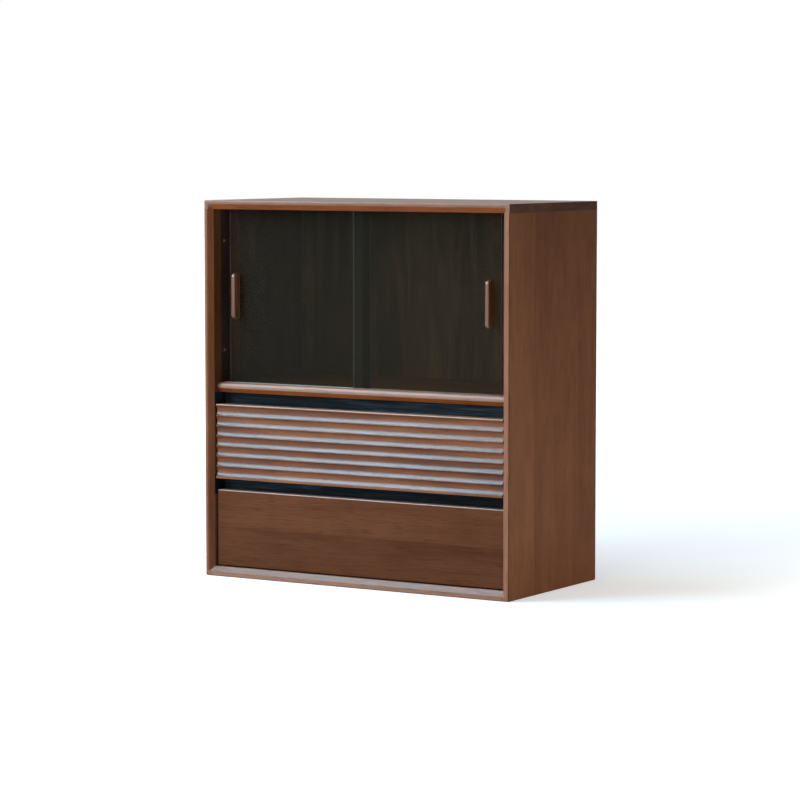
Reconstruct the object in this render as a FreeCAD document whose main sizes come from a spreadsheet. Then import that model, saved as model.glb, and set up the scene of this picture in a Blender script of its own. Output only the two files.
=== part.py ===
import FreeCAD, Part
import Sketcher
import os
import re

# Storage cabinet: a wooden case with a sliding glass compartment over two drawers.
# The origin is the middle of the footprint on the floor, +X right, the front faces -Y, +Z up.

doc = FreeCAD.newDocument("storage_cabinet")
sheet = doc.addObject("Spreadsheet::Sheet", "sizes")

# Driving dimensions in millimetres.
dimensions = {
    # case boards and their moulded front edge
    "case_width": 800,
    "case_depth": 400,
    "case_height": 860,
    "board": 20,
    "bottom_thickness": 22,
    "edge_lip": 8.5,
    "bevel_depth": 10,
    "back_thickness": 9,
    "back_setback": 18,
    "groove_depth": 6,
    "shelf_setback": 22,
    "shelf_thickness": 23,
    "shelf_lip": 13,
    "rail_setback": 52,
    "rail_thickness": 18,
    "rail_cover": 10,
    # drawer fronts and the finger gaps over them
    "front_clearance": 3,
    "front_floor_gap": 2,
    "plain_front_height": 174,
    "coved_front_height": 171,
    "finger_gap": 26,
    "front_setback": 16.5,
    "front_thickness": 20,
    "front_rounding": 3,
    # coved face of the upper front
    "cove_stand": 6,
    "cove_pitch": 23.2,
    "cove_depth": 5.5,
    "cove_ridge": 0.8,
    "cove_foot": 5,
    # drawer boxes
    "box_lift": 12,
    "box_height": 146,
    "box_rear_gap": 16.5,
    "box_front_thickness": 15,
    "box_wall": 12,
    "box_bottom_thickness": 5,
    "box_bottom_lift": 10,
    "box_groove": 6,
    # drawer slides, measured out from the side panel
    "slide_front": 40,
    "slide_rear_gap": 33,
    "slide_lift": 62,
    "slide_thickness": 12.7,
    "slide_height": 45,
    "slide_sheet": 1.2,
    "slide_bend": 1,
    "case_flange": 8.8,
    "middle_start": 2.2,
    "middle_flange": 8,
    "drawer_flange": 6.9,
    "ball_size": 2.6,
    "ball_clearance": 0.3,
    "retainer_sheet": 0.6,
    "retainer_reach": 5,
    "retainer_play": 5,
    # sliding glass doors
    "glass_thickness": 5,
    "glass_setback": 40,
    "glass_overlap": 6,
    "slot_clearance": 0.5,
    "slot_wall": 3,
    "track_wall": 1.5,
    "lower_track_height": 6,
    "upper_track_height": 12,
    "glass_lift": 0.3,
    "glass_engagement": 6,
    "left_ajar": 13,
    "right_ajar": 21,
    "bumper_height": 2,
    "bumper_base_radius": 4,
    "bumper_top_radius": 3,
    "bumper_inset": 72.5,
    "handle_width": 10.5,
    "handle_depth": 22,
    "handle_height": 104,
    "handle_inset": 24.5,
    "handle_corner": 8,
    "handle_easing": 1.2,
    # joinery
    "fit_clearance": 0.2,
    "dowel_diameter": 8,
    "dowel_length": 30,
    "dowel_blind": 10,
    "overrun": 2,
}
# Counts, and places along the depth as shares of it.
cove_count = 7
dowel_shares = (-0.3, 0.3)
match_share = 0.001
x_axis = FreeCAD.Vector(1, 0, 0)
y_axis = FreeCAD.Vector(0, 1, 0)
z_axis = FreeCAD.Vector(0, 0, 1)

for row, (alias, amount) in enumerate(dimensions.items(), start=1):
    sheet.set(f"A{row}", alias)
    sheet.set(f"B{row}", str(amount))
    sheet.setAlias(f"B{row}", alias)
doc.recompute()


def cells(text):
    """A sum of named sizes as an expression on the sheet's cells."""
    return re.sub(r"[a-z][a-z_]+", lambda word: "sizes." + word.group(), text)


def number(text):
    """The present value of a sum of named sizes."""
    return float(sheet.evalExpression(cells(text)))


def block(name, x, y, z):
    """A board between two named places along each axis."""
    item = doc.addObject("Part::Box", name)
    sides = zip(("Length", "Width", "Height"), "xyz", (x, y, z))
    for size, axis, (low, high) in sides:
        item.setExpression(size, cells(f"({high}) - ({low})"))
        item.setExpression(f"Placement.Base.{axis}", cells(low))
    return item


def rod(name, radius, length, place, turn=FreeCAD.Rotation()):
    """A round bar that starts at a named place and runs along its turned Z axis."""
    item = doc.addObject("Part::Cylinder", name)
    item.Placement.Rotation = turn
    item.setExpression("Radius", cells(radius))
    item.setExpression("Height", cells(length))
    for axis, text in zip("xyz", place):
        item.setExpression(f"Placement.Base.{axis}", cells(text))
    return item


def cut(name, base, *tools):
    """A piece with one or more tools cut out of it in turn."""
    for tool in tools:
        result = doc.addObject("Part::Cut", f"{name}_cut")
        result.Base = base
        result.Tool = tool
        base = result
    base.Label = name
    return base


def compound(name, items):
    """Separate solids of one kind, kept together as a set."""
    item = doc.addObject("Part::Compound", name)
    item.Links = items
    return item


def attach(body, name, plane):
    """A sketch on one of the body's own origin planes."""
    sketch = body.newObject("Sketcher::SketchObject", name)
    support = next(item for item in body.Origin.OriginFeatures if item.Role == plane)
    sketch.AttachmentSupport = [(support, "")]
    sketch.MapMode = "FlatFace"
    return sketch


def hold(sketch, kind, where, text, label):
    """One sketch dimension bound to a sum of named sizes."""
    index = sketch.addConstraint(Sketcher.Constraint(kind, *where, number(text)))
    sketch.renameConstraint(index, label)
    sketch.setExpression(f"Constraints.{label}", cells(text))


def outline(body, plane, corners):
    """A closed outline whose corners stand at named places."""
    sketch = attach(body, "Outline", plane)
    places = [FreeCAD.Vector(number(u), number(v), 0) for u, v in corners]
    count = len(places)
    for index, place in enumerate(places):
        sketch.addGeometry(Part.LineSegment(place, places[(index + 1) % count]), False)
    for index in range(count):
        sketch.addConstraint(Sketcher.Constraint("Coincident", index, 2, (index + 1) % count, 1))
    for index, (u, v) in enumerate(corners):
        hold(sketch, "DistanceX", (-1, 1, index, 1), u, f"across_{index}")
        hold(sketch, "DistanceY", (-1, 1, index, 1), v, f"up_{index}")
    return sketch


def pad(body, sketch, length, side="Symmetric"):
    """The outline drawn out to a named length."""
    feature = body.newObject("PartDesign::Pad", "Length")
    feature.Profile = sketch
    feature.SideType = side
    feature.setExpression("Length", cells(length))
    doc.recompute()
    return feature


def rounded(body, base, radius, wanted):
    """The wanted edges of a feature, rounded to a named radius."""
    edges = [f"Edge{index}" for index, edge in enumerate(base.Shape.Edges, start=1) if wanted(edge)]
    feature = body.newObject("PartDesign::Fillet", "Rounding")
    feature.Base = (base, edges)
    feature.setExpression("Radius", cells(radius))
    doc.recompute()
    return feature


def eased(body, base, size, wanted):
    """The wanted edges of a feature, planed off at a named size."""
    edges = [f"Edge{index}" for index, edge in enumerate(base.Shape.Edges, start=1) if wanted(edge)]
    feature = body.newObject("PartDesign::Chamfer", "Easing")
    feature.Base = (base, edges)
    feature.setExpression("Size", cells(size))
    doc.recompute()
    return feature


def runs_along(edge, axis):
    """Whether an edge is straight and lies along one axis."""
    return isinstance(edge.Curve, Part.Line) and edge.Curve.Direction.cross(axis).Length < match_share


def near(value, text):
    """Whether a measured place is the named place."""
    return abs(value - number(text)) < match_share * number("board")


# Places that several pieces share, from the driving dimensions.
half_width = "case_width / 2"
inner_half = "(case_width / 2 - board)"
face = "(-case_depth / 2)"
rear = "(case_depth / 2)"
bevel_width = "(board - edge_lip)"
bevel_slope = f"({bevel_width} / bevel_depth)"
back_face = f"({rear} - back_setback - back_thickness)"
back_rear = f"({rear} - back_setback)"
top_under = "(case_height - board)"
lower_front = "(bottom_thickness + front_floor_gap)"
lower_gap = f"({lower_front} + plain_front_height)"
upper_front = f"({lower_gap} + finger_gap)"
upper_gap = f"({upper_front} + coved_front_height)"
shelf_under = f"({upper_gap} + finger_gap)"
shelf_top = f"({shelf_under} + shelf_thickness)"
shelf_face = f"({face} + shelf_setback)"
rail_face = f"({face} + rail_setback)"
front_half = f"({inner_half} - front_clearance)"
front_face = f"({face} + front_setback)"
front_back = f"({front_face} + front_thickness)"
track_front = f"({face} + glass_setback - slot_clearance - track_wall)"
slot_width = "(glass_thickness + 2 * slot_clearance)"
track_width = f"(2 * track_wall + 2 * {slot_width} + slot_wall)"
track_rear = f"({track_front} + {track_width})"
glass_pitch = f"({slot_width} + slot_wall)"
glass_middle = f"(({shelf_top} + {top_under}) / 2)"
slide_near = f"({face} + slide_front)"
slide_rear = f"({back_face} - slide_rear_gap)"
slide_length = f"({slide_rear} - {slide_near})"


# Dowels: turned pins, half in each of the two boards that they join.
# Upright ones hold the top on the sides, level ones hold the bottom and the shelf between them.
dowels = []
dowel_holes = []
level = FreeCAD.Rotation(y_axis, 90)
dowel_radius = "dowel_diameter / 2"
hole_radius = "(dowel_diameter / 2 + fit_clearance)"
hole_length = "(dowel_length + 2 * fit_clearance)"
for share in dowel_shares:
    along = f"{share} * case_depth"
    for side in (-1, 1):
        across = f"{side} * (case_width / 2 - board / 2)"
        low = f"{top_under} + dowel_blind - dowel_length"
        dowels.append(rod("dowel", dowel_radius, "dowel_length", (across, along, low)))
        seat = f"{low} - fit_clearance"
        dowel_holes.append(rod("dowel_hole", hole_radius, hole_length, (across, along, seat)))
        for height in ("bottom_thickness / 2", f"{shelf_under} + shelf_thickness / 2"):
            middle = f"{side} * ({inner_half} + dowel_blind - dowel_length / 2)"
            start = f"{middle} - dowel_length / 2"
            dowels.append(rod("dowel", dowel_radius, "dowel_length", (start, along, height), level))
            seat = f"{start} - fit_clearance"
            dowel_holes.append(rod("dowel_hole", hole_radius, hole_length, (seat, along, height), level))
dowel_seats = compound("dowel_seats", dowel_holes)
case_dowels = compound("case_dowels", dowels)


# Front moulding: one bevel runs round the inside of the case's front edge, mitred in the corners.
# The tool is the frustum that the bevel leaves open.
moulding = doc.addObject("Part::Wedge", "moulding")
outer_step = f"({bevel_width} + overrun * {bevel_slope})"
inner_step = f"(-overrun * {bevel_slope})"
moulding.setExpression("Ymin", cells(f"{face} - overrun"))
moulding.setExpression("Ymax", cells(f"{face} + bevel_depth + overrun"))
for start, step in (("", outer_step), ("2", inner_step)):
    moulding.setExpression(f"X{start}min", cells(f"-{inner_half} - {step}"))
    moulding.setExpression(f"X{start}max", cells(f"{inner_half} + {step}"))
    moulding.setExpression(f"Z{start}min", cells(f"bottom_thickness - {step}"))
    moulding.setExpression(f"Z{start}max", cells(f"{top_under} + {step}"))


# Case boards: the top lies over the sides, the sides reach the floor, the bottom stands between them.
# A groove near the rear edge of all four takes the back panel.
groove_half = f"({inner_half} + groove_depth)"
groove_low = "(bottom_thickness - groove_depth)"
groove_high = f"({top_under} + groove_depth)"
back_groove = block(
    "back_groove",
    (f"-{groove_half}", groove_half),
    (back_face, back_rear),
    (groove_low, groove_high),
)
track_seat = block(
    "track_seat",
    (f"-{inner_half}", inner_half),
    (track_front, track_rear),
    (f"{top_under} - overrun", f"{top_under} + upper_track_height"),
)
depth = (face, rear)
top_board = block("top_board", (f"-{half_width}", half_width), depth, (top_under, "case_height"))
top_panel = cut("top_panel", top_board, moulding, back_groove, track_seat, dowel_seats)
bottom_board = block("bottom_board", (f"-{inner_half}", inner_half), depth, ("0", "bottom_thickness"))
bottom_panel = cut("bottom_panel", bottom_board, moulding, back_groove, dowel_seats)
side_panels = []
for name, low, high in (
    ("left_side_panel", f"-{half_width}", f"-{inner_half}"),
    ("right_side_panel", inner_half, half_width),
):
    side_board = block(f"{name}_board", (low, high), depth, ("0", top_under))
    side_panels.append(cut(name, side_board, moulding, back_groove, dowel_seats))

# Back panel: a thin board that slides into the grooves with a little play.
back_half = f"({groove_half} - fit_clearance)"
back_panel = block(
    "back_panel",
    (f"-{back_half}", back_half),
    (f"{back_face} + fit_clearance", f"{back_rear} - fit_clearance"),
    (f"{groove_low} + fit_clearance", f"{groove_high} - fit_clearance"),
)

# Middle shelf: its front edge has a broad lip over a bevel that is turned down, back from the case's face.
# A groove in its upper face takes the lower glass track.
shelf_body = doc.addObject("PartDesign::Body", "shelf_body")
shelf_outline = outline(
    shelf_body,
    "YZ_Plane",
    (
        (shelf_face, shelf_top),
        (shelf_face, f"{shelf_top} - shelf_lip"),
        (f"{shelf_face} + bevel_depth", shelf_under),
        (back_face, shelf_under),
        (back_face, shelf_top),
        (track_rear, shelf_top),
        (track_rear, f"{shelf_top} - lower_track_height"),
        (track_front, f"{shelf_top} - lower_track_height"),
        (track_front, shelf_top),
    ),
)
pad(shelf_body, shelf_outline, f"2 * {inner_half}")
middle_shelf = cut("middle_shelf", shelf_body, dowel_seats)

# Gap rails: dark boards that close the case behind the two finger gaps.
upper_gap_rail = block(
    "upper_gap_rail",
    (f"-{inner_half}", inner_half),
    (rail_face, f"{rail_face} + rail_thickness"),
    (f"{upper_gap} - rail_cover", shelf_under),
)
lower_gap_rail = block(
    "lower_gap_rail",
    (f"-{inner_half}", inner_half),
    (rail_face, f"{rail_face} + rail_thickness"),
    (f"{lower_gap} - rail_cover", f"{upper_front} + rail_cover"),
)


def glass_track(name, base, base_inside, lips):
    """A double-slot strip: a web at one height, with three walls that end at another."""
    body = doc.addObject("PartDesign::Body", name)
    front_slot = f"({track_front} + track_wall)"
    rear_slot = f"({front_slot} + {glass_pitch})"
    corners = [(track_front, base), (track_rear, base), (track_rear, lips)]
    for slot in (rear_slot, front_slot):
        far = f"({slot} + {slot_width})"
        corners += [(far, lips), (far, base_inside), (slot, base_inside), (slot, lips)]
    corners.append((track_front, lips))
    pad(body, outline(body, "YZ_Plane", corners), f"2 * {inner_half}")
    return body


# Glass tracks: extruded strips let in flush. The upper slots are deeper, so a pane lifts up and out.
lower_track_floor = f"({shelf_top} - lower_track_height)"
upper_track_roof = f"({top_under} + upper_track_height)"
glass_low = f"({lower_track_floor} + track_wall + glass_lift)"
glass_high = f"({top_under} + glass_engagement)"
tracks = [
    glass_track("lower_glass_track", lower_track_floor, f"{lower_track_floor} + track_wall", shelf_top),
    glass_track("upper_glass_track", upper_track_roof, f"{upper_track_roof} - track_wall", top_under),
]

# Sliding doors: the left pane runs in the rear slot and the right pane in the front slot.
# Both stand a little ajar. Each has a wooden bar handle bonded to its front near the outer edge.
doors = []
bumpers = []
closed_edge = f"({inner_half} - bumper_height)"
glass_width = f"({closed_edge} + glass_overlap / 2)"
for name, side, slot, ajar in (("left", -1, 1, "left_ajar"), ("right", 1, 0, "right_ajar")):
    glass_face = f"({face} + glass_setback + {slot} * {glass_pitch})"
    outer_edge = f"({closed_edge} - {ajar})"
    edges = sorted((f"{side} * {outer_edge}", f"{side} * ({outer_edge} - {glass_width})"), key=number)
    span = (glass_face, f"{glass_face} + glass_thickness")
    doors.append(block(f"{name}_glass_pane", edges, span, (glass_low, glass_high)))

    handle = doc.addObject("PartDesign::Body", f"{name}_door_handle")
    handle_low = f"({glass_middle} - handle_height / 2)"
    handle_high = f"({glass_middle} + handle_height / 2)"
    handle_front = f"({glass_face} - handle_depth)"
    bar_outline = outline(
        handle,
        "YZ_Plane",
        (
            (handle_front, handle_low),
            (glass_face, handle_low),
            (glass_face, handle_high),
            (handle_front, handle_high),
        ),
    )
    handle.setExpression("Placement.Base.x", cells(f"{side} * ({outer_edge} - handle_inset)"))
    bar = pad(handle, bar_outline, "handle_width")
    bar = rounded(
        handle, bar, "handle_corner",
        lambda edge: runs_along(edge, x_axis) and near(edge.BoundBox.YMin, handle_front),
    )
    eased(
        handle, bar, "handle_easing",
        lambda edge: runs_along(edge, z_axis) and near(edge.BoundBox.YMin, handle_front),
    )
    doors.append(handle)

    # Bumpers: soft clear studs on the side panel, where the pane's edge comes to rest.
    for height in (f"{shelf_top} + bumper_inset", f"{top_under} - bumper_inset"):
        stud = doc.addObject("Part::Cone", "bumper")
        stud.Placement.Rotation = FreeCAD.Rotation(y_axis, -90 * side)
        stud.setExpression("Radius1", cells("bumper_base_radius"))
        stud.setExpression("Radius2", cells("bumper_top_radius"))
        stud.setExpression("Height", cells("bumper_height"))
        stud.setExpression("Placement.Base.x", cells(f"{side} * {inner_half}"))
        stud.setExpression("Placement.Base.y", cells(f"{glass_face} + glass_thickness / 2"))
        stud.setExpression("Placement.Base.z", cells(height))
        bumpers.append(stud)
door_bumpers = compound("door_bumpers", bumpers)


def drawer_front(name, low, high, proud):
    """A solid front board, its top front edge rounded; proud is how far its face stands forward."""
    body = doc.addObject("PartDesign::Body", name)
    near_face = f"({front_face} - {proud})"
    board_outline = outline(
        body,
        "YZ_Plane",
        ((near_face, low), (front_back, low), (front_back, high), (near_face, high)),
    )
    board = pad(body, board_outline, f"2 * {front_half}")
    board = rounded(
        body, board, "front_rounding",
        lambda edge: runs_along(edge, x_axis)
        and near(edge.BoundBox.YMin, near_face)
        and near(edge.BoundBox.ZMin, high),
    )
    return body, board


# Upper drawer front: seven level coves with narrow ridges, run along the board with one round cutter.
coved_front, coved_board = drawer_front("louvered_drawer_front", upper_front, upper_gap, "cove_stand")
cove_chord = "(cove_pitch - cove_ridge)"
cove_radius = f"(({cove_chord} * {cove_chord} / 4 + cove_depth * cove_depth) / (2 * cove_depth))"
cove_sketch = attach(coved_front, "Cutter", "YZ_Plane")
cutter_forward = f"{front_face} - cove_stand - {cove_radius} + cove_depth"
cutter_height = f"{upper_front} + cove_foot + cove_pitch / 2"
cutter_place = FreeCAD.Vector(number(cutter_forward), number(cutter_height), 0)
cutter = Part.Circle(cutter_place, z_axis, number(cove_radius))
cove_sketch.addGeometry(cutter, False)
hold(cove_sketch, "Radius", (0,), cove_radius, "cutter_radius")
hold(cove_sketch, "DistanceX", (-1, 1, 0, 3), cutter_forward, "forward")
hold(cove_sketch, "DistanceY", (-1, 1, 0, 3), cutter_height, "height")
cove = coved_front.newObject("PartDesign::Pocket", "Cove")
cove.Profile = cove_sketch
cove.SideType = "Symmetric"
cove.setExpression("Length", cells(f"2 * {front_half} + 2 * overrun"))
doc.recompute()
coves = coved_front.newObject("PartDesign::LinearPattern", "Coves")
coves.Originals = [cove]
coves.Direction = (cove_sketch, ["V_Axis"])
coves.setExpression("Length", cells(f"cove_pitch * {cove_count - 1}"))
coves.Occurrences = cove_count
coved_front.Tip = coves
doc.recompute()
if not coves.Shape.Volume < cove.Shape.Volume < coved_board.Shape.Volume:
    raise RuntimeError("the coves cut nothing out of the upper front")

# Lower drawer front: the same board, left plain.
plain_front = drawer_front("plain_drawer_front", lower_front, lower_gap, "0")[0]


# Drawer boxes: thin walls with a groove for the bottom, set between the slides and screwed to the fronts.
drawers = [coved_front, plain_front]
box_half = f"({inner_half} - slide_thickness)"
wall_inner = f"({box_half} - box_wall)"
box_back = f"({back_face} - box_rear_gap)"
box_back_face = f"({box_back} - box_wall)"
box_front_back = f"({front_back} + box_front_thickness)"
for name, low in (("upper", upper_front), ("lower", lower_front)):
    floor = f"({low} + box_lift)"
    rim = f"({floor} + box_height)"
    sheet_low = f"({floor} + box_bottom_lift)"
    sheet_high = f"({sheet_low} + box_bottom_thickness)"
    bottom_half = f"({wall_inner} + box_groove)"
    groove = block(
        f"{name}_bottom_groove",
        (f"-{bottom_half}", bottom_half),
        (f"{box_front_back} - box_groove", f"{box_back_face} + box_groove"),
        (sheet_low, sheet_high),
    )
    sides = (("left", f"-{box_half}", f"-{wall_inner}"), ("right", wall_inner, box_half))
    for hand, start, end in sides:
        wall = block(f"{name}_{hand}_wall", (start, end), (front_back, box_back), (floor, rim))
        drawers.append(cut(f"{name}_box_{hand}", wall, groove))
    ends = (("front", front_back, box_front_back), ("back", box_back_face, box_back))
    for end, start, stop in ends:
        wall = block(f"{name}_{end}_wall", (f"-{wall_inner}", wall_inner), (start, stop), (floor, rim))
        drawers.append(cut(f"{name}_box_{end}", wall, groove))
    sheet_half = f"({bottom_half} - fit_clearance)"
    drawers.append(
        block(
            f"{name}_box_bottom",
            (f"-{sheet_half}", sheet_half),
            (
                f"{box_front_back} - box_groove + fit_clearance",
                f"{box_back_face} + box_groove - fit_clearance",
            ),
            (f"{sheet_low} + fit_clearance", f"{sheet_high} - fit_clearance"),
        )
    )


def channel(name, side, lift, web, reach, half, sheet_thickness):
    """A rolled channel: its web and the ends of its flanges stand at two distances from the side panel."""
    body = doc.addObject("PartDesign::Body", name)
    inner = f"({web} + {sheet_thickness})"
    inside = f"({half} - slide_sheet)"
    corners = [
        (web, f"-{half}"),
        (reach, f"-{half}"),
        (reach, f"-{inside}"),
        (inner, f"-{inside}"),
        (inner, inside),
        (reach, inside),
        (reach, half),
        (web, half),
    ]
    placed = [(f"{-side} * {s}", z) for s, z in corners]
    body.setExpression("Placement.Base.x", cells(f"{side} * {inner_half}"))
    body.setExpression("Placement.Base.y", cells(slide_rear))
    body.setExpression("Placement.Base.z", cells(lift))
    strip = pad(body, outline(body, "XZ_Plane", placed), slide_length, "One side")
    rounded(
        body, strip, "slide_bend",
        lambda edge: runs_along(edge, y_axis)
        and near(abs(edge.BoundBox.ZMin), half)
        and near(edge.BoundBox.XMin, f"{-side} * {web}"),
    )
    return body


def retainer(name, side, lift, web, level_at):
    """A thin cage that carries a row of balls on each side, drawn as one bead along each row."""
    parts = []
    start = f"({slide_near} + {slide_length} / 4 + retainer_play)"
    end = f"({slide_rear} - {slide_length} / 4 - retainer_play)"
    ball_at = f"({web} + retainer_reach)"

    def across(low, high):
        return sorted((f"{side} * ({inner_half} - {low})", f"{side} * ({inner_half} - {high})"), key=number)

    half_sheet = "retainer_sheet / 2"
    rim = f"({level_at} + {half_sheet})"
    web_span = across(web, f"({web} + retainer_sheet)")
    parts.append(block("web", web_span, (start, end), (f"{lift} - {rim}", f"{lift} + {rim}")))
    along = FreeCAD.Rotation(x_axis, -90)
    for way in (-1, 1):
        row = f"({lift} + {way} * {level_at})"
        arm_rise = (f"{row} - {half_sheet}", f"{row} + {half_sheet}")
        parts.append(block("arm", across(web, ball_at), (start, end), arm_rise))
        place = (f"{side} * ({inner_half} - {ball_at})", start, row)
        parts.append(rod("bead", "ball_size / 2", f"{end} - {start}", place, along))
    item = doc.addObject("Part::MultiFuse", name)
    item.Shapes = parts
    return item


# Drawer slides: three rolled channels nested in one another, with a ball cage between each two.
# The case member is fixed to the side panel and the drawer member to the drawer box.
slides = []
ball_room = "(ball_size + 2 * ball_clearance)"
case_half = "(slide_height / 2)"
middle_half = f"({case_half} - slide_sheet - {ball_room})"
drawer_half = f"({middle_half} - slide_sheet - {ball_room})"
outer_balls = f"({middle_half} + {ball_room} / 2)"
inner_balls = f"({drawer_half} + {ball_room} / 2)"
case_reach = "(slide_sheet + case_flange)"
middle_web_end = "(middle_start + slide_sheet)"
middle_reach = f"({middle_web_end} + middle_flange)"
outer_web = "((slide_sheet + middle_start - retainer_sheet) / 2)"
drawer_web = "(slide_thickness - slide_sheet)"
drawer_reach = f"({drawer_web} - drawer_flange)"
inner_web = f"(({middle_web_end} + {drawer_reach} - retainer_sheet) / 2)"
for drawer, low in (("upper", upper_front), ("lower", lower_front)):
    lift = f"({low} + box_lift + slide_lift)"
    for hand, side in (("left", -1), ("right", 1)):
        name = f"{drawer}_{hand}_slide"
        for member, web, reach, half, wall in (
            ("case_member", "0", case_reach, case_half, "slide_sheet"),
            ("middle_member", "middle_start", middle_reach, middle_half, "slide_sheet"),
            ("drawer_member", "slide_thickness", drawer_reach, drawer_half, "-slide_sheet"),
        ):
            slides.append(channel(f"{name}_{member}", side, lift, web, reach, half, wall))
        slides.append(retainer(f"{name}_outer_retainer", side, lift, outer_web, outer_balls))
        slides.append(retainer(f"{name}_inner_retainer", side, lift, inner_web, inner_balls))

doc.recompute()

# Every sub-part is checked, then written under its own name.
pieces = [
    top_panel, *side_panels, bottom_panel, middle_shelf, back_panel, upper_gap_rail, lower_gap_rail,
    *tracks, door_bumpers, case_dowels, *doors, *drawers, *slides,
]
for item in doc.Objects:
    if {"Invalid", "Error"} & set(item.State):
        raise RuntimeError(f"{item.Label} failed: {item.State}")
for piece in pieces:
    if piece.Shape.isNull() or not piece.Shape.isValid():
        raise RuntimeError(f"{piece.Label} has no valid shape")

os.makedirs("parts", exist_ok=True)
for piece in pieces:
    piece.Shape.exportStep(os.path.join("parts", f"{piece.Label}.step"))
print(len(pieces), "sub-parts,", sum(len(piece.Shape.Solids) for piece in pieces), "solids")
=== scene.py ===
import math

import bmesh
import bpy
from mathutils import Matrix, Vector


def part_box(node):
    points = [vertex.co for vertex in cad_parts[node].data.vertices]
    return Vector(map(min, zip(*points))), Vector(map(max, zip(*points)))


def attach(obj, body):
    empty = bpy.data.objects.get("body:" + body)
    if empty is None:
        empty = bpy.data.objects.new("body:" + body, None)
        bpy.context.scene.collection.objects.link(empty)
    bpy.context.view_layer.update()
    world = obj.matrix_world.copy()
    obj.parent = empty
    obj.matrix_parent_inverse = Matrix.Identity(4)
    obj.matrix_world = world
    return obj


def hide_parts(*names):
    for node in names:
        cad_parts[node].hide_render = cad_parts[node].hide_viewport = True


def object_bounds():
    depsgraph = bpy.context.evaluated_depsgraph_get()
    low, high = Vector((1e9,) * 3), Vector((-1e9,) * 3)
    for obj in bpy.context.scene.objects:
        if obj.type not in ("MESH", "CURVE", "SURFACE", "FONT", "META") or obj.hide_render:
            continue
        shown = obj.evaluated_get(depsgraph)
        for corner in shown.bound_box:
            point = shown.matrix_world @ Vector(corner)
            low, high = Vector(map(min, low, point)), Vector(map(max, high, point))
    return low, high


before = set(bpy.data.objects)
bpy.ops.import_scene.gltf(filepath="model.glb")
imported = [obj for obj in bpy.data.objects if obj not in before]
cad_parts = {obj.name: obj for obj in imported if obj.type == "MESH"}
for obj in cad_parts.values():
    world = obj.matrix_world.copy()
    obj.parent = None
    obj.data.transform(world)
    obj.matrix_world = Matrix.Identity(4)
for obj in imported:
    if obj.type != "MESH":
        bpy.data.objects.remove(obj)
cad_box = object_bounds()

# Case boards: top, two sides, bottom and middle shelf, glued up from oiled, walnut-stained ash staves.
# The top lies over both sides and the other boards stand between them, all held by hidden dowels.
# Their front edges are routed to a narrow nose with a bevel behind it, then sanded by hand.


def pick(piece):
    """Makes the piece the active one and the only one selected."""
    bpy.ops.object.select_all(action="DESELECT")
    bpy.context.view_layer.objects.active = piece
    piece.select_set(True)


def board_copy(node, name):
    """A copy of one solid's skin, with its triangles joined back into whole faces."""
    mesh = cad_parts[node].data.copy()
    mesh.name = name
    mesh.materials.clear()
    piece = bpy.data.objects.new(name, mesh)
    bpy.context.scene.collection.objects.link(piece)
    pick(piece)
    bpy.ops.object.mode_set(mode="EDIT")
    bpy.ops.mesh.customdata_custom_splitnormals_clear()
    bpy.ops.mesh.select_all(action="SELECT")
    bpy.ops.mesh.remove_doubles(threshold=0.00001)
    bpy.ops.mesh.dissolve_limited(angle_limit=math.radians(0.5))
    bpy.ops.object.mode_set(mode="OBJECT")
    return piece


def soften(piece, radius, steps, chosen, shortest=0.004):
    """Rounds the convex edges that the test picks, as sandpaper does."""
    least_turn = 0.5
    pick(piece)
    bpy.ops.object.mode_set(mode="EDIT")
    bpy.ops.mesh.select_mode(type="EDGE")
    bpy.ops.mesh.select_all(action="DESELECT")
    skin = bmesh.from_edit_mesh(piece.data)
    for edge in skin.edges:
        if not (edge.is_manifold and edge.is_convex and edge.calc_face_angle() > least_turn):
            continue
        start, end = (corner.co for corner in edge.verts)
        if edge.calc_length() > shortest and chosen(start, end):
            edge.select_set(True)
    bmesh.update_edit_mesh(piece.data)
    bpy.ops.mesh.bevel(offset=radius, segments=steps, profile=0.5, affect="EDGES")
    bpy.ops.object.mode_set(mode="OBJECT")


def dress(piece, finishes, finish_of, body, slot, *nodes):
    """Shades the piece, gives each face its named finish, and sets it on its body in the nodes' place."""
    pick(piece)
    bpy.ops.object.mode_set(mode="EDIT")
    bpy.ops.mesh.select_all(action="SELECT")
    bpy.ops.mesh.remove_doubles(threshold=0.000002)
    bpy.ops.object.mode_set(mode="OBJECT")
    bpy.ops.object.shade_smooth_by_angle(angle=math.radians(32))
    bpy.ops.object.modifier_add(type="WEIGHTED_NORMAL")
    piece.modifiers[-1].keep_sharp = True
    bpy.ops.object.modifier_apply(modifier=piece.modifiers[-1].name)
    for finish in finishes.values():
        piece.data.materials.append(finish)
    places = {label: place for place, label in enumerate(finishes)}
    for face in piece.data.polygons:
        face.material_index = places[finish_of(face.center, face.normal)]
    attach(piece, body)
    if nodes:
        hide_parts(*nodes)


def new_finish(name):
    """A new material, its node tree, its shader, and the coordinates that its patterns read."""
    finish = bpy.data.materials.new(name)
    finish.use_nodes = True
    tree = finish.node_tree
    return finish, tree, tree.nodes["Principled BSDF"], tree.nodes.new("ShaderNodeTexCoord").outputs["Object"]


def math_node(tree, kind, *values):
    """The result of one sum on numbers and on other nodes' results."""
    step = tree.nodes.new("ShaderNodeMath")
    step.operation = kind
    for socket, value in zip(step.inputs, values):
        if isinstance(value, (int, float)):
            socket.default_value = value
        else:
            tree.links.new(value, socket)
    return step.outputs[0]


def map_range(tree, value, low, high, start=0.0, end=1.0):
    """The value, moved from the span start to end onto the span low to high, and held within it."""
    span = tree.nodes.new("ShaderNodeMapRange")
    for label, number in (("From Min", start), ("From Max", end), ("To Min", low), ("To Max", high)):
        span.inputs[label].default_value = number
    tree.links.new(value, span.inputs["Value"])
    return span.outputs[0]


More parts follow.
